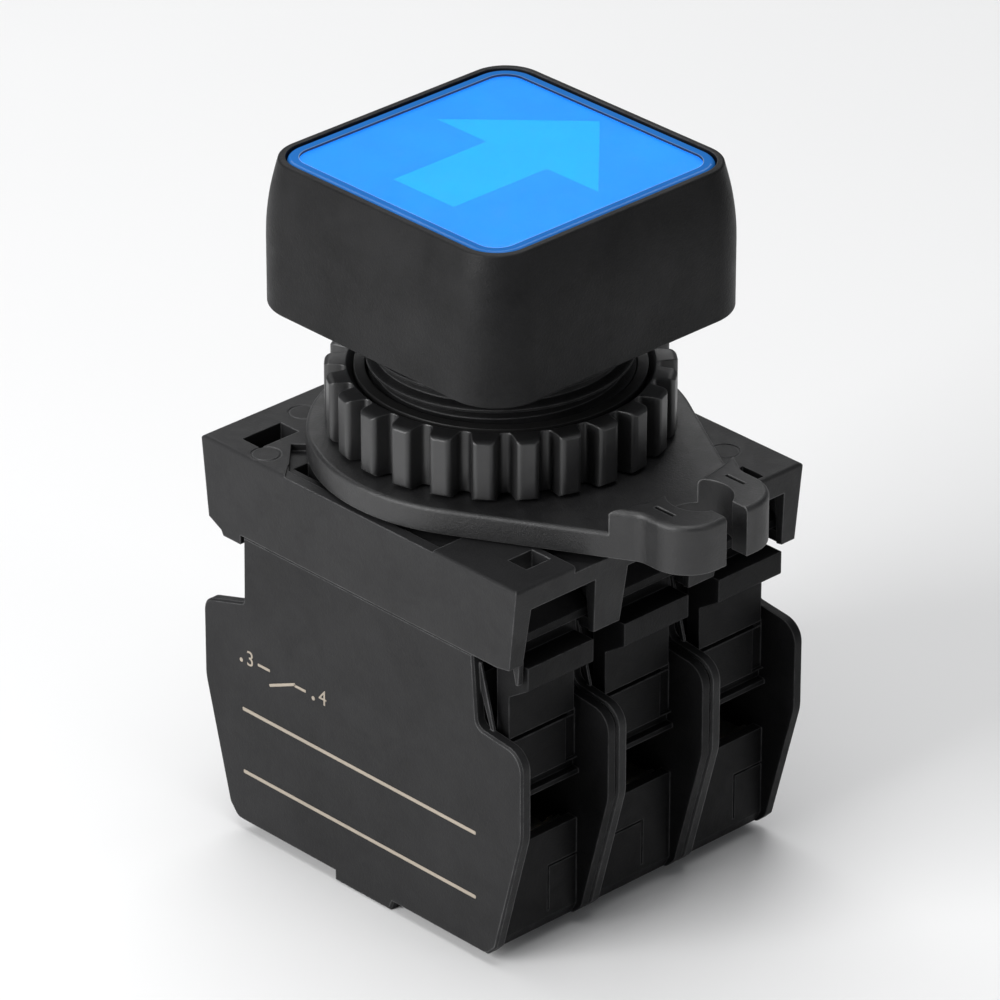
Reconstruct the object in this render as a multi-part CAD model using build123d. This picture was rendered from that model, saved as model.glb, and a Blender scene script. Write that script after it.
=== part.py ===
from build123d import *
import math
import os

# Panel-mount illuminated square pushbutton with three contact blocks.
# Frame: +Z is the button's axis, pointing out of the panel. z = 0 is the
# underside of the bezel, where it meets the panel. X is the long direction of
# the contact blocks, and the three blocks stack along Y. Millimetres.

# ---------------------------------------------------------------- dimensions
# bezel and neck
BEZEL_HALF = 14.7          # half of the bezel's square
BEZEL_R = 4.5              # its corner radius
BEZEL_Z1 = 8.9             # top of the straight part of the sides
BEZEL_TOP = 12.9           # top of the rim
BEZEL_TAPER = 15.0         # degrees, upper part of the sides
POCKET_HALF = 13.1         # square pocket for the lens
POCKET_R = 3.0
FLOOR_Z = 1.6              # floor of the pocket
NECK_R = 11.0              # crest of the thread, and the plain shank under the bezel
THREAD_ROOT = 10.25
THREAD_PITCH = 1.5
NECK_LOW_R = 10.95
NECK_BORE = 9.5
NECK_END = -16.3
# button
TRAVEL = 3.5
LENS_HALF = 12.95
LENS_R = 2.85
LENS_TOP = 12.82
LENS_LOW = 8.2
# ring nut
NUT_TOP, NUT_LOW = -5.3, -10.7
NUT_TIP_R, NUT_ROOT_R = 14.4, 12.7
NUT_TEETH = 25
NUT_BORE = 11.06
# locking lever
LEV_TOP, LEV_LOW = -10.9, -13.1
LEV_R = 15.9
LEV_HANDLE_TOP = -8.8
KEY_R = 2.75               # keyhole in the handle
LUG_TURN = 40.0            # degrees from locked to released
# mounting base
BASE_TOP, BASE_LOW = -13.3, -20.9
BASE_X_TOP, BASE_X_LOW = 18.7, 17.9
BASE_Y = 16.1
BASE_BORE = 13.02
# contact blocks
PITCH = 10.7               # block to block along Y
BLOCK_W = 10.6
PLATE_T = 0.95             # side plates of a block
CORE_TOP = -23.0
BLOCK_LOW = -48.2
FOOT_LOW = -49.1
WIRE_Z = (-38.95, -34.7)   # wire entries
SCREW_X = 12.0

CENTRES = {"front": -PITCH, "middle": 0.0, "rear": PITCH}


# ------------------------------------------------------------------- helpers
def bx(x0, x1, y0, y1, z0, z1):
    return Pos((x0 + x1) / 2, (y0 + y1) / 2, (z0 + z1) / 2) * Box(
        abs(x1 - x0), abs(y1 - y0), abs(z1 - z0))


def cyl(r, z0, z1, x=0.0, y=0.0):
    return Pos(x, y, (z0 + z1) / 2) * Cylinder(r, abs(z1 - z0))


def ring(r0, r1, z0, z1):
    return cyl(r1, z0, z1) - cyl(r0, z0 - 1, z1 + 1)


def rsq(h, r, z0, z1, taper=0.0):
    return extrude(Pos(0, 0, z0) * RectangleRounded(2 * h, 2 * h, r),
                   amount=z1 - z0, taper=taper)


def xz_face(pts, y, radii=None):
    """A face in the plane of one Y, from X-Z points, with rounded corners."""
    pl = Plane(origin=(0, y, 0), x_dir=(1, 0, 0), z_dir=(0, -1, 0))
    sk = Polygon(*pts, align=None)
    if radii:
        for (px, pz), r in radii:
            v = [q for q in sk.vertices()
                 if abs(q.X - px) < 1e-4 and abs(q.Y - pz) < 1e-4]
            if v:
                sk = fillet(v, r)
    return pl * sk


def xz_prism(pts, y0, y1, radii=None):
    return extrude(xz_face(pts, y1, radii), amount=y1 - y0, dir=(0, -1, 0))


def xy_prism(pts, z0, z1, radii=None):
    sk = Polygon(*pts, align=None)
    if radii:
        for (px, py), r in radii:
            v = [q for q in sk.vertices()
                 if abs(q.X - px) < 1e-4 and abs(q.Y - py) < 1e-4]
            if v:
                sk = fillet(v, r)
    return extrude(Pos(0, 0, z0) * sk, amount=z1 - z0, dir=(0, 0, 1))


def coil(mean_r, wire_d, z0, z1, turns, x=0.0, y=0.0):
    """A helical spring whose wire lies between z0 and z1."""
    h = (z1 - z0) - wire_d
    path = Helix(pitch=h / turns, height=h, radius=mean_r)
    prof = Plane(origin=path @ 0, z_dir=path % 0) * Circle(wire_d / 2)
    return Pos(x, y, z0 + wire_d / 2) * sweep(prof, path=path, is_frenet=True)


def soften(shape, edges, r):
    """Round edges; keep the sharp shape if the kernel refuses the radius."""
    try:
        out = fillet(edges, r)
        return out if out.is_valid else shape
    except Exception:
        return shape


parts = {}


def put(name, shape):
    shape = shape.clean() if hasattr(shape, "clean") else shape
    shape.label = name
    parts[name] = shape


# ------------------------------------------------------------ bezel and neck
low = rsq(BEZEL_HALF, BEZEL_R, 0, BEZEL_Z1)
top = rsq(BEZEL_HALF, BEZEL_R, BEZEL_Z1, BEZEL_TOP, taper=BEZEL_TAPER)
bezel = low + top
# the shoulder where the sides start to lean in is soft
sh = [e for e in bezel.edges() if abs(e.center().Z - BEZEL_Z1) < 1e-3]
for r in (22.0, 18.0, 14.0, 10.0, 6.0):
    crown = soften(bezel, sh, r)
    if crown is not bezel:
        bezel = crown
        print("crown", r)
        break
bezel = soften(bezel, [e for e in bezel.edges()
                       if abs(e.bounding_box().min.Z - BEZEL_TOP) < 1e-3], 0.22)
bezel = soften(bezel, [e for e in bezel.edges()
                       if abs(e.bounding_box().max.Z) < 1e-3], 0.25)
bezel -= rsq(POCKET_HALF, POCKET_R, FLOOR_Z, BEZEL_TOP + 1)
neck = cyl(NECK_R, -1.3, 0.5) + cyl(THREAD_ROOT, -11.0, -1.0)
neck += cyl(NECK_LOW_R, NECK_END, -10.6)
neck += cyl(10.6, -10.8, -10.4)
# right-hand helical thread, rounded crest
hx = Helix(pitch=THREAD_PITCH, height=8.4, radius=THREAD_ROOT)
tp = Polygon((-0.25, -0.58), (0.55, -0.24), (0.74, -0.1), (0.74, 0.1),
             (0.55, 0.24), (-0.25, 0.58), align=None)
tpl = Plane(origin=hx @ 0, x_dir=(1, 0, 0), z_dir=hx % 0)
thread = Pos(0, 0, -10.1) * sweep(tpl * tp, path=hx, is_frenet=True)
neck = neck + thread
# groove that the lever's two lugs turn in, and the two slots they leave by
neck -= ring(10.0, 12.0, -13.0, -11.6)
for a in (90 + LUG_TURN, 270 + LUG_TURN):
    neck -= Rot(0, 0, a) * bx(10.0, 12.0, -2.35, 2.35, NECK_END - 1, -12.9)
# keyway for the thrust ring
neck -= Rot(0, 0, 135) * bx(10.4, 12.0, -1.25, 1.25, -11.0, 0.0)
bezel = bezel + neck
bezel -= cyl(NECK_BORE, NECK_END - 1, FLOOR_Z + 1)
# seat of the panel gasket
bezel -= ring(11.35, 13.65, -0.5, 0.7)
put("bezel", bezel)

put("panel_gasket", ring(11.4, 13.6, 0.02, 0.7))

# ------------------------------------------------------------------- button
lens = rsq(LENS_HALF, LENS_R, LENS_LOW, LENS_TOP)
lens = soften(lens, [e for e in lens.edges()
                     if abs(e.bounding_box().min.Z - LENS_TOP) < 1e-3], 0.35)
lens -= rsq(12.05, 2.0, LENS_LOW - 1, 12.3)
put("button_lens", lens)

# arrow that points along +Y, with its barbs along X
ARROW = [(-3.5, -8.5), (3.5, -8.5), (3.5, 1.7), (9.4, 1.7), (0.0, 11.0),
         (-9.4, 1.7), (-3.5, 1.7)]
SH = 0.012
ARROW_IN = [(-3.5 + SH, -8.5 + SH), (3.5 - SH, -8.5 + SH),
            (3.5 - SH, 1.7 + SH), (9.4 - 2.4 * SH, 1.7 + SH),
            (0.0, 11.0 - 1.42 * SH), (-9.4 + 2.4 * SH, 1.7 + SH),
            (-3.5 + SH, 1.7 + SH)]
plate = rsq(12.0, 1.9, 11.5, 12.26) - xy_prism(ARROW, 11.0, 12.5)
put("legend_plate", plate)
put("arrow_inlay", xy_prism(ARROW_IN, 11.5, 12.26))
put("light_diffuser", rsq(12.0, 1.9, 10.6, 11.46))

carrier = rsq(LENS_HALF, LENS_R, 7.4, 8.15)
carrier += rsq(12.0, 1.9, 8.1, 10.58) - rsq(10.8, 1.6, 8.0, 10.7)
carrier += cyl(9.42, -17.6, 7.6)
carrier -= cyl(8.2, -18.0, 10.0)
carrier -= ring(8.9, 9.6, -17.25, -16.4)
put("button_carrier", carrier)
clip = ring(8.92, 10.3, -17.2, -16.45) - bx(0, 12, -1.6, 1.6, -18, -16)
put("retaining_ring", clip)
put("return_spring", coil(10.9, 0.7, FLOOR_Z + 0.02, 7.38, 3.25))

# ----------------------------------------------------- ring nut and its ring
pts = []
for i in range(NUT_TEETH):
    c = math.radians(-6.0 + i * 360.0 / NUT_TEETH)
    for rad, da in ((NUT_ROOT_R, -5.25), (NUT_TIP_R, -3.5),
                    (NUT_TIP_R, 3.5), (NUT_ROOT_R, 5.25)):
        t = c + math.radians(da)
        pts.append((rad * math.cos(t), rad * math.sin(t)))
prof = Polygon(*pts, align=None)
tips = [v for v in prof.vertices() if math.hypot(v.X, v.Y) > 14.0]
prof = fillet(tips, 0.5)
roots = [v for v in prof.vertices() if math.hypot(v.X, v.Y) < 12.9]
prof = fillet(roots, 0.42)
nut = extrude(Pos(0, 0, NUT_LOW) * prof, amount=NUT_TOP - NUT_LOW)
# rounded ends of the teeth, top and bottom
lead = cyl(14.55, NUT_LOW, NUT_TOP)
lead = fillet([e for e in lead.edges() if e.length > 50], 0.75)
nut = nut & lead
nut -= cyl(NUT_BORE, NUT_LOW - 1, NUT_TOP + 1)
nut -= cyl(12.05, NUT_TOP - 1.15, NUT_TOP + 1)
nut -= Pos(0, 0, NUT_TOP - 0.35) * Cone(11.9, 12.6, 0.7)
put("ring_nut", nut)
tr = ring(11.07, 11.98, NUT_TOP - 1.12, NUT_TOP - 0.05)
tr += Rot(0, 0, 135) * bx(10.5, 11.5, -1.15, 1.15, NUT_TOP - 1.12, NUT_TOP - 0.05)
put("thrust_ring", tr)

# ------------------------------------------------------------- locking lever
A0 = math.radians(-60.0)
P1 = (LEV_R * math.cos(A0), LEV_R * math.sin(A0))
P2, P3, P4 = (20.9, -6.3), (22.0, -5.6), (27.1, -5.6)
tab = [(0, 0), P1, P2, P3, P4, (P4[0], -P4[1]), (P3[0], -P3[1]),
       (P2[0], -P2[1]), (P1[0], -P1[1])]
tab_r = [(P4, 3.4), ((P4[0], -P4[1]), 3.4), (P3, 2.0), ((P3[0], -P3[1]), 2.0),
         (P2, 1.6), ((P2[0], -P2[1]), 1.6)]
lever = cyl(LEV_R, LEV_LOW, LEV_TOP) + xy_prism(tab, LEV_LOW, LEV_TOP, tab_r)
handle = xy_prism(tab, LEV_LOW, LEV_HANDLE_TOP, tab_r) - cyl(20.9, -20, 0)
handle = soften(handle, [e for e in handle.edges()
                         if abs(e.bounding_box().min.Z - LEV_HANDLE_TOP) < 1e-3], 0.45)
lever += handle
lever = soften(lever, [e for e in lever.edges()
                       if abs(e.bounding_box().min.Z - LEV_TOP) < 1e-3
                       and abs(e.bounding_box().max.Z - LEV_TOP) < 1e-3
                       and e.bounding_box().max.X < 19.5], 0.35)
# keyhole for a screwdriver blade
lever -= cyl(KEY_R, -20, 0, 22.9, 0)
lever -= bx(22.9, 30, -1.15, 1.15, -20, 0)
# marking slits beside it
lever -= bx(21.9, 24.0, -4.15, -3.75, LEV_HANDLE_TOP - 0.5, 0)
lever -= bx(21.9, 24.0, 3.75, 4.15, LEV_HANDLE_TOP - 0.5, 0)
# collar that turns in the mounting base, with its retaining flange
lever += cyl(12.95, -16.3, LEV_LOW + 0.1)
lever += cyl(13.75, -16.3, -15.55)
lever -= cyl(11.02, -17, 0)
for a in (90, 270):
    lug = ring(10.1, 11.5, -12.75, -11.85) & Rot(0, 0, a) * bx(9.5, 12, -1.95, 1.95, -13, -11)
    lever += lug
put("locking_lever", lever)

# ------------------------------------------------------------ mounting base
outer = [(-BASE_X_TOP, BASE_TOP), (BASE_X_TOP, BASE_TOP),
         (BASE_X_LOW, BASE_LOW + 0.25), (BASE_X_LOW - 1.4, BASE_LOW),
         (-14.1, BASE_LOW), (-14.1, -21.75), (-16.2, -21.75),
         (-16.45, -21.3), (-BASE_X_LOW - 0.05, -20.55)]
base = xz_prism(outer, -BASE_Y, BASE_Y)
base = soften(base, [e for e in base.edges()
                     if e.bounding_box().min.Z > BASE_TOP - 0.01
                     and e.bounding_box().max.Z > BASE_TOP - 0.01
                     and abs(e.bounding_box().size.Z) < 1e-3], 0.3)
base = soften(base, [e for e in base.edges()
                     if e.bounding_box().size.Z > 5 and abs(abs(e.center().Y) - BASE_Y) < 1e-3], 0.8)
# room above: shallow recess under the lever, open at the +X end, with a
# corner that runs out towards -X -Y behind the front wall
base -= cyl(15.0, -13.95, -10)
base -= bx(8, 20, -9.6, 9.6, -13.95, -10)
base -= xy_prism([(-12.4, -11.9), (-9.2, -15.05), (9.0, -15.05), (9.0, -8.0), (-8.5, -8.0)],
                 -13.95, -10)
base -= xy_prism([(-8.1, -16.6), (-9.9, -14.44), (-8.0, -14.0), (9.0, -14.0), (9.0, -16.6)],
                 -13.45, -10)
# bore of the lever's collar
base -= cyl(BASE_BORE, -22, -10)
# room inside
base -= bx(-16.75, 17.3, -15.05, 15.05, -20.65, -15.4)
base -= bx(-14.05, 17.3, -15.05, 15.05, -23, -15.4)
# three windows in the +X end, open below, between tapered posts
for c in CENTRES.values():
    win = [(c - 3.55, -15.55), (c + 3.55, -15.55), (c + 3.95, -21.2), (c - 3.95, -21.2)]
    pl = Plane(origin=(16.0, 0, 0), x_dir=(0, 1, 0), z_dir=(1, 0, 0))
    base -= extrude(pl * Polygon(*win, align=None), amount=4.0, dir=(1, 0, 0))
# partitions between the blocks, cut away where the yoke travels
for s in (-1, 1):
    base += bx(-16.8, -6.4, s * 5.35 - 0.8, s * 5.35 + 0.8, -20.85, -15.3)
    base += bx(6.4, 17.4, s * 5.35 - 0.8, s * 5.35 + 0.8, -20.85, -15.3)
# ledges in the windows' lower corners, under the ears of the latches
for c in CENTRES.values():
    for s in (-1, 1):
        base += bx(16.2, 17.45, c + s * 3.9, c + s * 4.7, -20.6, -19.6)
base -= cyl(13.95, -16.6, -15.4)
base -= cyl(10.8, -22, -15.4)
base -= cyl(BASE_BORE, -16.6, -10)
# pockets in the top plate
base -= bx(-15.8, -13.6, -14.2, -9.95, -16, -10)
base -= bx(-15.8, -13.6, 9.95, 14.2, -16, -10)
base -= bx(14.3, 16.4, -12.8, -10.2, -16, -10)
base -= bx(15.75, 18.2, 11.2, 12.1, -16, -10)
base -= bx(-9.9, -6.6, -13.9, -12.3, -16, -10)
# shallow ejector marks
for (x, y) in ((12.9, 12.9), (-12.5, -14.55), (-15.9, -7.4), (-15.9, 7.4)):
    base -= cyl(1.3, BASE_TOP - 0.07, -10, x, y) - cyl(1.12, -15, -9, x, y)
# small hook at the front corner post, below the last window
base += xz_prism([(17.0, -20.4), (17.88, -20.4), (17.75, -22.5), (17.5, -22.5)], -15.0, -14.5)
put("mounting_base", base)

# yoke that passes the button's travel on to the plungers
yoke = bx(-5.5, 5.5, -13.2, 13.2, -19.2, -17.65)
yoke = soften(yoke, [e for e in yoke.edges() if abs(e.bounding_box().size.Z - 1.55) < 1e-3], 1.2)
yoke -= cyl(5.3, -20, -17)
yoke += ring(8.0, 9.0, -17.66, -17.62) & bx(-5, 5, -12, 12, -18, -17)
put("actuator_yoke", yoke)

# ------------------------------------------------------------ contact blocks
SIDE = [(-13.9, -20.95), (13.5, -20.95), (14.0, -27.4), (19.25, -28.0),
        (19.25, -35.8), (16.2, -47.2), (15.2, BLOCK_LOW),
        (3.9, BLOCK_LOW), (3.5, FOOT_LOW), (-3.2, FOOT_LOW), (-3.2, BLOCK_LOW),
        (-15.2, BLOCK_LOW), (-16.2, -47.0), (-19.0, -35.9), (-19.0, -28.7),
        (-14.0, -27.2)]
SIDE_R = [((14.0, -27.4), 0.9), ((-14.0, -27.2), 0.4), ((19.25, -28.0), 1.9),
          ((-19.0, -28.7), 1.4), ((19.25, -35.8), 4.0), ((-19.0, -35.9), 4.0),
          ((16.2, -47.2), 0.7), ((-16.2, -47.0), 0.9), ((15.2, BLOCK_LOW), 0.8),
          ((-15.2, BLOCK_LOW), 1.0)]
CORE = [(-13.6, CORE_TOP), (13.6, CORE_TOP), (13.6, -28.3), (15.6, -28.5),
        (15.6, -33.3), (15.12, -33.36), (15.12, -34.2), (15.8, -34.26),
        (15.8, -34.72), (15.6, -34.74),
        (15.6, -47.0), (15.0, -48.15), (-15.0, -48.15), (-15.6, -47.0),
        (-15.6, -34.74), (-15.8, -34.72), (-15.8, -34.26), (-15.12, -34.2),
        (-15.12, -33.36), (-15.6, -33.3), (-15.6, -28.5), (-13.6, -28.3)]
HALF = BLOCK_W / 2


def side_plate(y0, y1, outer_y):
    """Side plate of a block, its outer rim softened."""
    p = xz_prism(SIDE, y0, y1, SIDE_R)
    es = [e for e in p.edges() if abs(e.center().Y - outer_y) < 1e-3
          and e.bounding_box().size.Y < 1e-3]
    try:
        q = chamfer(es, 0.18)
        if q.is_valid:
            p = q
    except Exception:
        pass
    if abs(outer_y) < 14:      # notch that the yoke travels down into
        p -= bx(-6.4, 6.4, y0 - 1, y1 + 1, CORE_TOP, -20)
        # and lower edge under the carrier's tube
        p -= bx(-10.9, 10.9, y0 - 1, y1 + 1, -21.5, -20)
    return p


def cover(c):
    """Loose side plate of a block, with a thin spring arm at +X."""
    p = side_plate(c - HALF, c - HALF + PLATE_T, c - HALF)
    arm = xz_prism([(13.1, -21.9), (13.75, -21.9), (15.25, -27.45), (15.25, -27.9),
                    (14.9, -27.9), (14.9, -27.5), (13.1, -22.5)],
                   c - HALF + 0.7, c - HALF + PLATE_T)
    return p + arm


def housing(c, kind):
    y0, y1 = c - HALF + PLATE_T, c + HALF
    h = xz_prism(CORE, y0, y1 - PLATE_T + 0.01)
    h += side_plate(y1 - PLATE_T, y1, y1)
    # latch arm at +X: plate, lip below the base's edge, tab in the window
    h += bx(14.6, 16.0, c - 3.6, c + 3.6, -28.9, -18.0)
    lip = xz_prism([(15.3, -21.05), (18.2, -21.05), (18.2, -23.1), (16.0, -24.5),
                    (15.3, -24.5)], c - 3.6, c + 3.6, [((18.2, -23.1), 0.3)])
    h += lip
    # tab with two ears that catch on the ledges beside the window
    h += xz_prism([(14.6, -17.3), (15.6, -17.3), (16.9, -18.8), (16.9, -19.5), (14.6, -19.5)],
                  c - 4.25, c + 4.25)
    # hook at -X that lies on the base's bar
    h += bx(-13.6, -11.8, c - 3.0, c + 3.0, -23.5, -19.3)
    h += bx(-16.3, -13.0, c - 3.0, c + 3.0, -20.5, -19.3)
    # contact chamber, open to the cover
    h -= bx(-8.6, 8.6, y0 - 1, y0 + 7.75, -44.5, -25.2)
    for s in (-1, 1):
        # wire entry across the whole width between the plates
        h -= bx(s * 9.6, s * 16.5, y0 - 1, y1 - PLATE_T, WIRE_Z[0], WIRE_Z[1])
        # recess of the clamp plate, below the entry
        h -= bx(s * 9.6, s * 14.6, y0 - 1, y1 - PLATE_T, -40.45, WIRE_Z[0] + 0.1)
        # seat of the terminal strip, and its way into the chamber
        h -= bx(s * 8.0, s * 14.55, c - 3.2, c + 3.2, -34.8, -33.9)
        h -= bx(s * 8.0, s * 9.7, y0 - 1, c + 3.2, -34.8, -33.9)
        # room over the terminal plate for the screw's end
        h -= cyl(1.9, -35, -31.0, s * SCREW_X, c)
        # screwdriver access from below
        h -= cyl(2.85, -50, -40.0, s * SCREW_X, c)
        # groove under the latch arm's foot, and the sunk strip beside the rib
        h -= bx(s * 15.05, s * 17.0, y0 - 1, y1 - PLATE_T, -28.78, -28.4)
        h -= bx(s * 15.3, s * 15.9, c + 3.1, y1 - PLATE_T, -33.2, -28.3)
        # moulded panel line of the lower end face
        if kind == "contact":
            h -= bx(s * 15.4, s * 15.8, c + 1.1, y1 - PLATE_T, -42.4, -42.2)
            h -= bx(s * 15.4, s * 15.8, c + 1.1, c + 1.28, -46.5, -42.2)
        else:
            h -= bx(s * 15.4, s * 15.8, y0 - 1, c + 1.28, -42.4, -42.2)
            h -= bx(s * 15.4, s * 15.8, c + 1.1, c + 1.28, -46.5, -42.2)
    if kind == "contact":
        h -= bx(-2.06, 2.06, c - 2.06, c + 2.06, -26, -22)
    else:
        h -= cyl(3.6, -27.1, -22, 0, c)
    return h


def terminal_pair(c, z_contact):
    """Two terminal strips with their silver contacts (z_contact: +1 above, -1 below)."""
    out = None
    for s in (-1, 1):
        t = bx(s * 4.2, s * 14.45, c - 3.1, c + 3.1, -34.68, -33.95)
        t -= bx(s * 3.0, s * 8.4, c - 5, c - 2.0, -36, -33)
        t -= bx(s * 3.0, s * 8.4, c + 2.0, c + 5, -36, -33)
        t -= cyl(1.6, -40, -30, s * SCREW_X, c)
        if z_contact > 0:
            t += cyl(1.25, -34.0, -33.35, s * 5.7, c)
        elif z_contact < 0:
            t += cyl(1.25, -35.28, -34.6, s * 5.7, c)
        out = t if out is None else out + t
    return out


def bridge(c, z_low, tip_up):
    """Moving contact bar with its two silver tips."""
    b = bx(-7.2, 7.2, c - 1.2, c + 1.2, z_low, z_low + 0.6)
    for s in (-1, 1):
        if tip_up:
            b += cyl(1.15, z_low + 0.5, z_low + 1.1, s * 5.7, c)
        else:
            b += cyl(1.15, z_low - 0.5, z_low + 0.1, s * 5.7, c)
    return b


def plunger(c, bar_low, up, low):
    """Square plunger with the window that holds the bar and its spring."""
    p = bx(-2.0, 2.0, c - 2.0, c + 2.0, low, -19.25)
    p = soften(p, [e for e in p.edges()
                   if abs(e.bounding_box().min.Z + 19.25) < 1e-3], 0.4)
    if up:      # bar at the top of the window, spring under it
        p -= bx(-3, 3, c - 1.3, c + 1.3, bar_low - 1.9, bar_low + 0.62)
    else:       # bar at the bottom of the window, spring above it
        p -= bx(-3, 3, c - 1.3, c + 1.3, bar_low - 0.02, bar_low + 2.5)
    p -= cyl(1.25, low - 1, low + 1.2, 0, c)
    return p


for side in ("front", "rear"):
    c = CENTRES[side]
    put("block_housing_" + side, housing(c, "contact"))
    put("block_cover_" + side, cover(c))
    normally_open = side == "front"
    put("terminal_strips_" + side, terminal_pair(c, 1 if normally_open else -1))
    if normally_open:
        bar = -29.3
        put("bridge_" + side, bridge(c, bar, False))
        put("plunger_" + side, plunger(c, bar, False, -38.6))
        put("contact_spring_" + side, coil(0.85, 0.3, bar + 0.62, bar + 2.47, 4, 0, c))
        put("plunger_spring_" + side, coil(1.0, 0.36, -44.48, -37.42, 6.0, 0, c))
    else:
        bar = -36.4
        put("bridge_" + side, bridge(c, bar, True))
        put("plunger_" + side, plunger(c, bar, True, -40.3))
        put("contact_spring_" + side, coil(0.85, 0.3, bar - 1.87, bar - 0.02, 4, 0, c))
        put("plunger_spring_" + side, coil(1.0, 0.34, -44.48, -39.12, 4.5, 0, c))

# middle block: lamp
put("lamp_housing", housing(0.0, "lamp"))
put("lamp_cover", cover(0.0))
put("lamp_terminals", terminal_pair(0.0, 0))
holder = cyl(4.6, CORE_TOP + 0.02, -5.0) + cyl(3.55, -26.9, CORE_TOP + 0.1)
holder -= cyl(2.7, -30, 0)
holder -= cyl(3.45, -6.6, 0)
holder -= bx(-0.6, 0.6, -6, 6, -8.5, 0)
put("lamp_holder", holder)
led = cyl(2.4, -6.55, -1.2) + Pos(0, 0, -1.2) * Sphere(2.4)
led += cyl(3.3, -6.55, -5.6)
led -= bx(-3, 3, -8, 8, -9, -6.55)
led += cyl(0.28, -29.0, -6.5, 0, -1.25) + cyl(0.28, -29.0, -6.5, 0, 1.25)
put("led_lamp", led)
board = bx(-7.6, 7.6, 0.3, 1.3, -43.5, -28.6)
board -= bx(-9, -4.0, -1, 3, -35.2, -33.4)
board -= bx(4.0, 9, -1, 3, -35.2, -33.4)
board -= bx(-0.4, 0.4, 0, 2, -29.2, -28)
put("lamp_board", board)
res = None
for x, z in ((-3.0, -38.5), (3.0, -38.5), (0.0, -41.5)):
    r = Pos(x, -0.55, z) * Rot(0, 90, 0) * Cylinder(0.8, 3.4)
    res = r if res is None else res + r
put("lamp_resistors", res)

# clamp plates and terminal screws of all three blocks
cl, sc = None, None
for c in CENTRES.values():
    for s in (-1, 1):
        p = bx(s * 9.9, s * 14.4, c - 3.9, c + 3.9, -40.4, -39.65)
        p += bx(s * 13.9, s * 14.4, c - 3.9, c + 3.9, -39.7, -39.2)
        p -= cyl(1.65, -45, -35, s * SCREW_X, c)
        cl = p if cl is None else cl + p
        h = cyl(2.65, -42.7, -40.5, s * SCREW_X, c)
        h = soften(h, [e for e in h.edges() if abs(e.center().Z + 42.7) < 1e-3], 0.5)
        h += cyl(1.5, -40.6, -31.6, s * SCREW_X, c)
        for a in (0, 90):
            h -= Pos(s * SCREW_X, c, -42.4) * Rot(0, 0, a) * Box(3.0, 0.62, 1.6)
        sc = h if sc is None else sc + h
put("clamp_plates", cl)
put("terminal_screws", sc)

# -------------------------------------------------------------------- output
if __name__ == "__main__":
    os.makedirs("parts", exist_ok=True)
    for f in os.listdir("parts"):
        if f.endswith(".step"):
            os.remove(os.path.join("parts", f))
    for name, shape in parts.items():
        export_step(shape, "parts/" + name + ".step")
        print(name, round(shape.volume, 1))
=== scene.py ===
import math

import bmesh
import bpy
from mathutils import Matrix, Vector


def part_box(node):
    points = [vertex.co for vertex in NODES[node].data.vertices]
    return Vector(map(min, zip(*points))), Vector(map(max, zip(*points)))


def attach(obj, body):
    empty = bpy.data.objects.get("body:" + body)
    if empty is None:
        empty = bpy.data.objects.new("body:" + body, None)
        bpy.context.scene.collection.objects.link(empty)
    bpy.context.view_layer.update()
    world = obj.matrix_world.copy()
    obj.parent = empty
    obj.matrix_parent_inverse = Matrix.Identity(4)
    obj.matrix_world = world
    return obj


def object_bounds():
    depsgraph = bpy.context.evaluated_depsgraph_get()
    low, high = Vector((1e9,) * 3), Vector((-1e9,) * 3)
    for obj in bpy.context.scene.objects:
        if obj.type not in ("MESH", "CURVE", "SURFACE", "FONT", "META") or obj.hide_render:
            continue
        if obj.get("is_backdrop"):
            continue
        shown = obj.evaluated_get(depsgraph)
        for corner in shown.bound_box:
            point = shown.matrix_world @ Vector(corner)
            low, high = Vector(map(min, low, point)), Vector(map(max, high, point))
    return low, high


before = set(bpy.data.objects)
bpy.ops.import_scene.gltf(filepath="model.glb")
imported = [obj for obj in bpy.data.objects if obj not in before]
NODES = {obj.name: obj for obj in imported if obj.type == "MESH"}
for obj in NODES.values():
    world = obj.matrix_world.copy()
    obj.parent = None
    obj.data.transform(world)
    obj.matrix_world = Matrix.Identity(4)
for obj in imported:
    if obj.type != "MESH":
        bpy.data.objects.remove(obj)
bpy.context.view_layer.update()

# Square illuminated push-button switch: materials, printed marks, lights and
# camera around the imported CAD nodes. Everything is in metres, in the CAD frame.

MM = 0.001
scene = bpy.context.scene


# ---------------------------------------------------------------- node helpers
def material(name):
    m = bpy.data.materials.new(name)
    m.use_nodes = True
    nt = m.node_tree
    nt.nodes.clear()
    out = nt.nodes.new("ShaderNodeOutputMaterial")
    shader = nt.nodes.new("ShaderNodeBsdfPrincipled")
    nt.links.new(shader.outputs[0], out.inputs[0])
    return m, nt, shader


def noise(nt, coord, scale, detail=2.0, rough=0.5, distortion=0.0):
    n = nt.nodes.new("ShaderNodeTexNoise")
    n.inputs["Scale"].default_value = scale
    n.inputs["Detail"].default_value = detail
    n.inputs["Roughness"].default_value = rough
    n.inputs["Distortion"].default_value = distortion
    nt.links.new(coord, n.inputs["Vector"])
    return n.outputs["Fac"]


def remap(nt, value, a, b, c, d):
    m = nt.nodes.new("ShaderNodeMapRange")
    m.inputs["From Min"].default_value = a
    m.inputs["From Max"].default_value = b
    m.inputs["To Min"].default_value = c
    m.inputs["To Max"].default_value = d
    nt.links.new(value, m.inputs["Value"])
    return m.outputs["Result"]


def math_node(nt, op, a, b=None):
    m = nt.nodes.new("ShaderNodeMath")
    m.operation = op
    for i, v in enumerate((a, b)):
        if v is None:
            continue
        if isinstance(v, (int, float)):
            m.inputs[i].default_value = v
        else:
            nt.links.new(v, m.inputs[i])
    return m.outputs[0]


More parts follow.
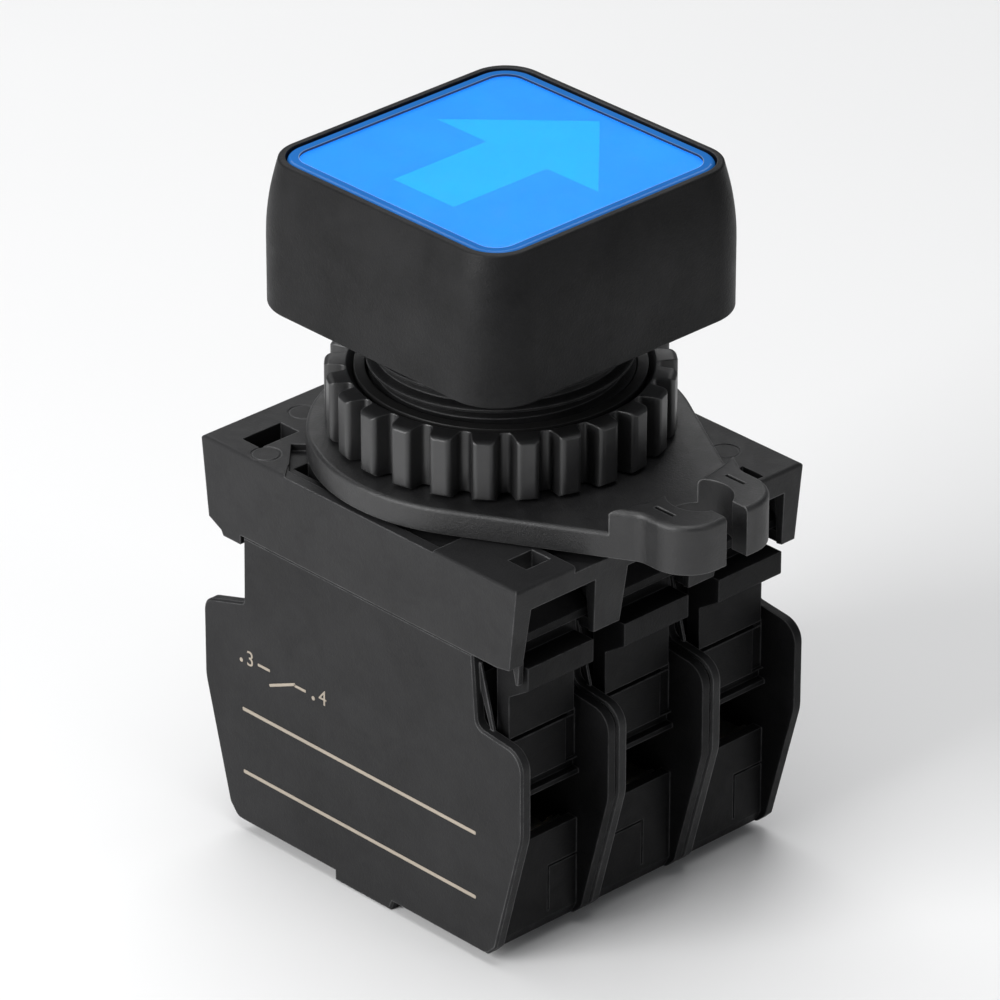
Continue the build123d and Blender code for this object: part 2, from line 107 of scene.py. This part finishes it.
def mix_colour(nt, factor, a, b):
    m = nt.nodes.new("ShaderNodeMix")
    m.data_type = "RGBA"
    nt.links.new(factor, m.inputs[0])
    for sock, v in ((m.inputs[6], a), (m.inputs[7], b)):
        if isinstance(v, tuple):
            sock.default_value = (*v, 1.0)
        else:
            nt.links.new(v, sock)
    return m.outputs[2]


def bump(nt, height, distance, strength=1.0, normal=None):
    b = nt.nodes.new("ShaderNodeBump")
    b.inputs["Strength"].default_value = strength
    b.inputs["Distance"].default_value = distance
    nt.links.new(height, b.inputs["Height"])
    if normal is not None:
        nt.links.new(normal, b.inputs["Normal"])
    return b.outputs["Normal"]


def soft_edge(nt, radius):
    b = nt.nodes.new("ShaderNodeBevel")
    b.samples = 6
    b.inputs["Radius"].default_value = radius
    return b.outputs["Normal"]


def painted_highlight_edges(nt, rounded):
    """0 on flat faces, towards 1 on outer and inner edges; it places the painted edge
    highlight.
    """
    geo = nt.nodes.new("ShaderNodeNewGeometry")
    dot = nt.nodes.new("ShaderNodeVectorMath")
    dot.operation = "DOT_PRODUCT"
    nt.links.new(rounded, dot.inputs[0])
    nt.links.new(geo.outputs["Normal"], dot.inputs[1])
    return remap(nt, dot.outputs["Value"], 0.985, 0.86, 0.0, 1.0)


def object_coords(nt):
    return nt.nodes.new("ShaderNodeTexCoord").outputs["Object"]


def moulded(name, dark, light, painted_edge_highlight=None, rough=(0.42, 0.56), grain=5200.0,
            grain_depth=0.000012, edge=0.00012, specular=0.5, cloud=140.0):
    """Injection-moulded plastic: fine spark-eroded grain, slow colour drift,
    flow-line roughness and, when given, a lighter colour along the edges that is a painted
    highlight."""
    m, nt, p = material(name)
    co = object_coords(nt)
    drift = remap(nt, noise(nt, co, cloud, 4.0, 0.6, 0.4), 0.3, 0.7, 0.0, 1.0)
    speck = remap(nt, noise(nt, co, grain * 0.5, 2.0, 0.6), 0.35, 0.75, 0.0, 1.0)
    base = mix_colour(nt, drift, dark, light)
    fine = mix_colour(nt, math_node(nt, "MULTIPLY", speck, 0.35), base, light)
    rounded = soft_edge(nt, edge)
    colour = fine
    # Lighter colour mixed in along edges and creases: a painted edge highlight.
    if painted_edge_highlight is not None:
        painted_highlight_mask = math_node(nt, "MULTIPLY", painted_highlight_edges(nt, rounded),
                         remap(nt, noise(nt, co, 900.0, 3.0), 0.3, 0.65, 0.35, 1.0))
        colour = mix_colour(nt, painted_highlight_mask, fine, painted_edge_highlight)
    nt.links.new(colour, p.inputs["Base Color"])
    r = remap(nt, noise(nt, co, 420.0, 5.0, 0.65, 0.8), 0.3, 0.7, rough[0], rough[1])
    nt.links.new(r, p.inputs["Roughness"])
    h = math_node(nt, "ADD", noise(nt, co, grain, 3.0, 0.65),
                  math_node(nt, "MULTIPLY", noise(nt, co, grain * 2.7, 1.0), 0.5))
    nt.links.new(bump(nt, h, grain_depth, 1.0, rounded), p.inputs["Normal"])
    p.inputs["Specular IOR Level"].default_value = specular
    return m


def metal(name, colour_a, colour_b, rough=(0.22, 0.4), scale=(60.0, 60.0, 2600.0),
          depth=0.000004, edge=0.00008):
    """Drawn or stamped metal: fine lines one way, clouded tone, soft edges."""
    m, nt, p = material(name)
    co = object_coords(nt)
    mp = nt.nodes.new("ShaderNodeMapping")
    mp.inputs["Scale"].default_value = scale
    nt.links.new(co, mp.inputs["Vector"])
    lines = noise(nt, mp.outputs["Vector"], 1.0, 3.0, 0.6)
    tone = remap(nt, noise(nt, co, 350.0, 4.0), 0.3, 0.7, 0.0, 1.0)
    nt.links.new(mix_colour(nt, tone, colour_a, colour_b), p.inputs["Base Color"])
    nt.links.new(remap(nt, lines, 0.3, 0.7, rough[0], rough[1]), p.inputs["Roughness"])
    nt.links.new(bump(nt, lines, depth, 1.0, soft_edge(nt, edge)), p.inputs["Normal"])
    p.inputs["Metallic"].default_value = 1.0
    return m


def lamp_and_painted_glow(name, colour_a, colour_b, strength, rough=0.35, scale=260.0):
    """Coloured plastic that glows, a little unevenly: the LED's own light on the lamp, and
    on the legend, arrow and diffuser a painted glow standing in for lamp light that the
    clear lens holds back.
    """
    m, nt, p = material(name)
    co = object_coords(nt)
    f = remap(nt, noise(nt, co, scale, 3.0, 0.55), 0.3, 0.7, 0.0, 1.0)
    c = mix_colour(nt, f, colour_a, colour_b)
    nt.links.new(c, p.inputs["Base Color"])
    nt.links.new(c, p.inputs["Emission Color"])
    p.inputs["Emission Strength"].default_value = strength
    r = remap(nt, noise(nt, co, 900.0, 3.0), 0.3, 0.7, rough - 0.06, rough + 0.06)
    nt.links.new(r, p.inputs["Roughness"])
    p.inputs["Specular IOR Level"].default_value = 0.2
    nt.links.new(bump(nt, noise(nt, co, 4200.0, 2.0), 0.000004), p.inputs["Normal"])
    return m


def clear_lens(name, tint, painted_wall_glow_a, painted_wall_glow_b):
    """Clear glossy plastic with a slight tint over the legend; the lens's own side walls
    are an opaque deeper blue with a faint emission, a painted glow standing in for the
    bright blue band seen along them."""
    m, nt, p = material(name)
    co = object_coords(nt)
    sep = nt.nodes.new("ShaderNodeSeparateXYZ")
    nt.links.new(co, sep.inputs[0])
    q = []
    for i in (0, 1):
        over = math_node(nt, "SUBTRACT", math_node(nt, "ABSOLUTE", sep.outputs[i]), 0.0101)
        q.append(math_node(nt, "MAXIMUM", over, 0.0))
    far = math_node(nt, "SQRT", math_node(nt, "ADD", math_node(nt, "MULTIPLY", q[0], q[0]),
                                          math_node(nt, "MULTIPLY", q[1], q[1])))
    wall = remap(nt, far, 0.00186, 0.00194, 0.0, 1.0)
    f = remap(nt, noise(nt, co, 120.0, 2.0), 0.3, 0.7, 0.0, 1.0)
    clear = mix_colour(nt, f, tint, tuple(min(1.0, t * 1.04) for t in tint))
    # Side walls: opaque deeper blue plus faint emission, painted colour and glow for the
    # bright blue band.
    painted_wall_glow = mix_colour(nt, f, painted_wall_glow_a, painted_wall_glow_b)
    nt.links.new(mix_colour(nt, wall, clear, painted_wall_glow), p.inputs["Base Color"])
    nt.links.new(math_node(nt, "SUBTRACT", 1.0, wall), p.inputs["Transmission Weight"])
    nt.links.new(painted_wall_glow, p.inputs["Emission Color"])
    nt.links.new(math_node(nt, "MULTIPLY", wall, 0.17), p.inputs["Emission Strength"])
    p.inputs["IOR"].default_value = 1.49
    p.inputs["Specular IOR Level"].default_value = 0.1
    nt.links.new(remap(nt, noise(nt, co, 700.0, 3.0), 0.3, 0.7, 0.02, 0.06),
                 p.inputs["Roughness"])
    nt.links.new(bump(nt, noise(nt, co, 90.0, 1.0), 0.00001, 1.0,
                      soft_edge(nt, 0.00015)), p.inputs["Normal"])
    return m


# ------------------------------------------------------------------- materials
# The third colour of a moulded material, where given, is a painted edge highlight.
M = {}
M["bezel"] = moulded("bezel_satin_black", (0.0035, 0.0035, 0.0037), (0.0125, 0.0125, 0.013),
                     (0.08, 0.08, 0.082), rough=(0.42, 0.54), grain=4600.0,
                     grain_depth=0.000035, edge=0.0002, specular=0.16)
M["nut"] = moulded("nut_satin_black", (0.009, 0.009, 0.0095), (0.015, 0.015, 0.0155),
                   (0.06, 0.06, 0.06), rough=(0.34, 0.46), grain=4800.0,
                   grain_depth=0.000006, edge=0.0002, specular=0.76)
M["lever"] = moulded("lever_black", (0.006, 0.006, 0.0065), (0.011, 0.011, 0.0115),
                     (0.12, 0.12, 0.12), rough=(0.42, 0.56), grain=4200.0,
                     grain_depth=0.00003, edge=0.00018, specular=0.64)
M["base"] = moulded("base_black", (0.011, 0.011, 0.0115), (0.017, 0.017, 0.0178),
                    (0.13, 0.13, 0.132), rough=(0.46, 0.6), grain=4000.0,
                    grain_depth=0.000024, edge=0.0002, specular=0.25)
M["block"] = moulded("block_black", (0.009, 0.009, 0.0095), (0.015, 0.015, 0.0157),
                     (0.16, 0.16, 0.163), rough=(0.42, 0.56), grain=4400.0,
                     grain_depth=0.000024, edge=0.0002, specular=0.19)
# A darker copy of the block plastic for the housings: painted shade for their end faces,
# which turn away from the lamps.
M["block_painted_shade"] = moulded("block_black_painted_shade", (0.0035, 0.0035, 0.0038), (0.0075, 0.0075, 0.008),
                    (0.07, 0.07, 0.072), rough=(0.45, 0.6), grain=4400.0,
                    grain_depth=0.000024, edge=0.0002, specular=0.13)
M["dark"] = moulded("ring_black", (0.009, 0.009, 0.009), (0.015, 0.015, 0.015),
                    None, rough=(0.4, 0.5), grain=5000.0, grain_depth=0.000005)
M["rubber"] = moulded("gasket_rubber", (0.01, 0.01, 0.01), (0.02, 0.02, 0.02), None,
                      rough=(0.7, 0.85), grain=3000.0, grain_depth=0.000012)
M["carrier"] = moulded("carrier_dark_blue", (0.008, 0.02, 0.06), (0.012, 0.03, 0.08), None,
                       rough=(0.4, 0.5), grain=4200.0, specular=0.2)
M["yoke"] = moulded("yoke_natural", (0.5, 0.5, 0.46), (0.6, 0.6, 0.56), None)
M["plunger"] = moulded("plunger_red", (0.42, 0.03, 0.02), (0.5, 0.05, 0.03), None)
M["holder"] = moulded("lamp_holder_natural", (0.62, 0.62, 0.58), (0.7, 0.7, 0.66), None)
M["board"] = moulded("board_green", (0.01, 0.09, 0.035), (0.02, 0.13, 0.05), None,
                     rough=(0.3, 0.4))
M["resistor"] = moulded("resistor_tan", (0.4, 0.3, 0.16), (0.48, 0.37, 0.2), None)
M["brass"] = metal("contact_brass", (0.72, 0.5, 0.22), (0.8, 0.58, 0.28))
M["zinc"] = metal("screw_zinc", (0.6, 0.6, 0.57), (0.7, 0.7, 0.66), rough=(0.24, 0.42))
M["spring"] = metal("spring_steel", (0.5, 0.5, 0.51), (0.62, 0.62, 0.63),
                    scale=(900.0, 900.0, 900.0))
M["lamp"] = lamp_and_painted_glow("lamp_emitter", (0.25, 0.6, 1.0), (0.3, 0.66, 1.0), 0.15)
# Legend, arrow and diffuser: painted glow in place of light under the lens.
M["plate"] = lamp_and_painted_glow("legend_blue", (0.0, 0.24, 0.92), (0.001, 0.26, 0.95), 0.95)
M["arrow"] = lamp_and_painted_glow("arrow_cyan", (0.0, 0.36, 0.95), (0.002, 0.375, 0.98), 0.95)
M["diffuser"] = lamp_and_painted_glow("diffuser_blue", (0.1, 0.4, 0.9), (0.13, 0.45, 0.95), 0.3)
# The last two colours are the painted glow on the lens side walls.
M["lens"] = clear_lens("lens_clear_blue", (0.72, 0.93, 1.0), (0.012, 0.11, 0.36),
                       (0.016, 0.13, 0.42))
M["print"] = moulded("print_tan", (0.3, 0.26, 0.21), (0.36, 0.31, 0.25), None,
                     rough=(0.5, 0.65), grain=5200.0, grain_depth=0.000004)

LOOK = {
    "bezel": "bezel", "panel_gasket": "rubber", "button_lens": "lens",
    "legend_plate": "plate", "arrow_inlay": "arrow", "light_diffuser": "diffuser",
    "button_carrier": "carrier", "retaining_ring": "spring", "return_spring": "spring",
    "ring_nut": "nut", "thrust_ring": "dark", "locking_lever": "lever",
    "mounting_base": "base", "actuator_yoke": "yoke", "lamp_housing": "block_painted_shade",
    "lamp_cover": "block", "lamp_terminals": "brass", "lamp_holder": "holder",
    "led_lamp": "lamp", "lamp_board": "board", "lamp_resistors": "resistor",
    "clamp_plates": "zinc", "terminal_screws": "zinc",
}
for side in ("front", "rear"):
    LOOK.update({
        "block_housing_" + side: "block_painted_shade", "block_cover_" + side: "block",
        "terminal_strips_" + side: "brass", "bridge_" + side: "brass",
        "plunger_" + side: "plunger", "contact_spring_" + side: "spring",
        "plunger_spring_" + side: "spring",
    })
for name, node in NODES.items():
    m = M[LOOK[name]]
    if not node.material_slots:
        node.data.materials.append(m)
    for s in node.material_slots:
        s.material = m


# --------------------------------------------------------------- printed marks
FACE_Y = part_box("block_cover_front")[0].y


def mark(name, outlines, y=FACE_Y, thick=0.02 * MM):
    """Flat printed strokes on a face that looks towards -Y: outlines are X-Z
    polygons in millimetres."""
    bm = bmesh.new()
    for pts in outlines:
        front = [bm.verts.new((x * MM, y - thick, z * MM)) for x, z in pts]
        back = [bm.verts.new((x * MM, y + 0.004 * MM, z * MM)) for x, z in pts]
        bm.faces.new(front)
        bm.faces.new(list(reversed(back)))
        n = len(pts)
        for i in range(n):
            bm.faces.new((front[i], front[(i + 1) % n], back[(i + 1) % n], back[i]))
    bmesh.ops.recalc_face_normals(bm, faces=bm.faces)
    me = bpy.data.meshes.new(name)
    bm.to_mesh(me)
    bm.free()
    ob = bpy.data.objects.new(name, me)
    scene.collection.objects.link(ob)
    me.materials.append(M["print"])
    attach(ob, "switch_body")
    return ob


def stroke(a, b, w):
    """A straight stroke from a to b with a small chamfer at each end."""
    ax, az = a
    bx, bz = b
    d = math.hypot(bx - ax, bz - az)
    ux, uz = (bx - ax) / d, (bz - az) / d
    px, pz = -uz * w / 2, ux * w / 2
    k = w * 0.22
    return [(ax + px * .6 , az + pz * .6), (ax + ux * k + px, az + uz * k + pz),
            (bx - ux * k + px, bz - uz * k + pz), (bx + px * .6, bz + pz * .6),
            (bx - px * .6, bz - pz * .6), (bx - ux * k - px, bz - uz * k - pz),
            (ax + ux * k - px, az + uz * k - pz), (ax - px * .6, az - pz * .6)]


def dot(x, z, r, n=14):
    return [(x + r * math.cos(2 * math.pi * i / n), z + r * math.sin(2 * math.pi * i / n))
            for i in range(n)]


mark("print_rules", [stroke((-14.3, -37.3), (13.9, -37.3), 0.34),
                     stroke((-14.3, -43.3), (13.9, -43.3), 0.34)])
mark("print_contact_symbol", [
    dot(-14.35, -32.7, 0.2), stroke((-12.3, -32.35), (-10.8, -32.35), 0.26),
    stroke((-10.9, -33.75), (-7.7, -32.35), 0.26),
    stroke((-7.8, -32.5), (-6.4, -32.5), 0.26), dot(-5.5, -32.75, 0.2)])


def numeral(name, text, x, z, size):
    """A printed terminal number, as a thin mesh on the front cover."""
    cu = bpy.data.curves.new(name, "FONT")
    cu.body = text
    cu.size = size * MM
    cu.extrude = 0.012 * MM
    cu.resolution_u = 6
    tmp = bpy.data.objects.new(name + "_src", cu)
    scene.collection.objects.link(tmp)
    bpy.context.view_layer.update()
    me = bpy.data.meshes.new_from_object(
        tmp.evaluated_get(bpy.context.evaluated_depsgraph_get()))
    bpy.data.objects.remove(tmp)
    me.name = name
    me.transform(Matrix.Translation((x * MM, FACE_Y - 0.009 * MM, z * MM))
                 @ Matrix.Rotation(math.pi / 2, 4, "X"))
    me.materials.clear()
    me.materials.append(M["print"])
    ob = bpy.data.objects.new(name, me)
    scene.collection.objects.link(ob)
    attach(ob, "switch_body")
    return ob


numeral("print_terminal_3", "3", -13.75, -32.9, 2.0)
numeral("print_terminal_4", "4", -4.85, -32.9, 2.0)

# ------------------------------------------------------------------ the studio
lo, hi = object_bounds()
floor_z = lo.z
bm = bmesh.new()
bmesh.ops.create_grid(bm, x_segments=8, y_segments=8, size=1.6)
me = bpy.data.meshes.new("studio_floor")
bm.to_mesh(me)
bm.free()
floor = bpy.data.objects.new("studio_floor", me)
scene.collection.objects.link(floor)
floor.location = (0.0, 0.0, floor_z - 0.00001)
fm, fnt, fp = material("studio_floor_pale")
fco = object_coords(fnt)
ff = remap(fnt, noise(fnt, fco, 3.0, 3.0), 0.3, 0.7, 0.0, 1.0)
fnt.links.new(mix_colour(fnt, ff, (0.80, 0.80, 0.80), (0.83, 0.83, 0.83)),
              fp.inputs["Base Color"])
fnt.links.new(remap(fnt, noise(fnt, fco, 30.0, 3.0), 0.3, 0.7, 0.6, 0.7),
              fp.inputs["Roughness"])
me.materials.append(fm)
floor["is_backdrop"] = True

world = bpy.data.worlds.new("studio_world")
scene.world = world
world.use_nodes = True
bg = world.node_tree.nodes.get("Background")
bg.inputs["Color"].default_value = (0.93, 0.95, 1.0, 1.0)
bg.inputs["Strength"].default_value = 0.14


def softbox(name, place, target, size, power, colour=(1.0, 1.0, 1.0)):
    li = bpy.data.lights.new(name, "AREA")
    li.shape = "RECTANGLE"
    li.size, li.size_y = size
    li.energy = power
    li.color = colour
    ob = bpy.data.objects.new(name, li)
    scene.collection.objects.link(ob)
    ob.location = place
    ob.rotation_mode = "QUATERNION"
    ob.rotation_quaternion = (Vector(target) - Vector(place)).to_track_quat("-Z", "Y")
    return ob


A, E = math.radians(46.5), math.radians(28.0)
BACK = Vector((math.sin(A) * math.cos(E), -math.cos(A) * math.cos(E), math.sin(E)))
RIGHT = Vector((math.cos(A), math.sin(A), 0.0))
UP = BACK.cross(RIGHT)
FORE = Vector((math.sin(A), -math.cos(A), 0.0))
MID = Vector((0.0, 0.0, -0.016))


def around(right, fore, up):
    return MID + RIGHT * right + FORE * fore + Vector((0, 0, up))


softbox("key_left", around(-0.42, 0.30, 0.22), MID, (0.34, 0.4), 3.6)
softbox("fill_right", around(0.46, 0.26, 0.16), MID, (0.14, 0.42), 0.25)
softbox("top_back", around(-0.06, -0.42, 0.42), MID, (0.6, 0.3), 1.4)
softbox("top", around(0.0, 0.05, 0.6), MID, (0.4, 0.4), 1.9)

# ---------------------------------------------------------------------- camera
cam_data = bpy.data.cameras.new("camera")
cam_data.sensor_width = 36.0
cam_data.lens = 7430.0 / 1000.0 * 36.0
cam_data.clip_start, cam_data.clip_end = 0.01, 20.0
cam = bpy.data.objects.new("camera", cam_data)
scene.collection.objects.link(cam)
eye = BACK * 0.6 + RIGHT * (-0.09 * MM) + UP * (-15.96 * MM)
cam.matrix_world = Matrix.Translation(eye) @ Matrix(
    (RIGHT, UP, BACK)).transposed().to_4x4()
scene.camera = cam
scene.view_settings.view_transform = "Standard"

lo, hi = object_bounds()
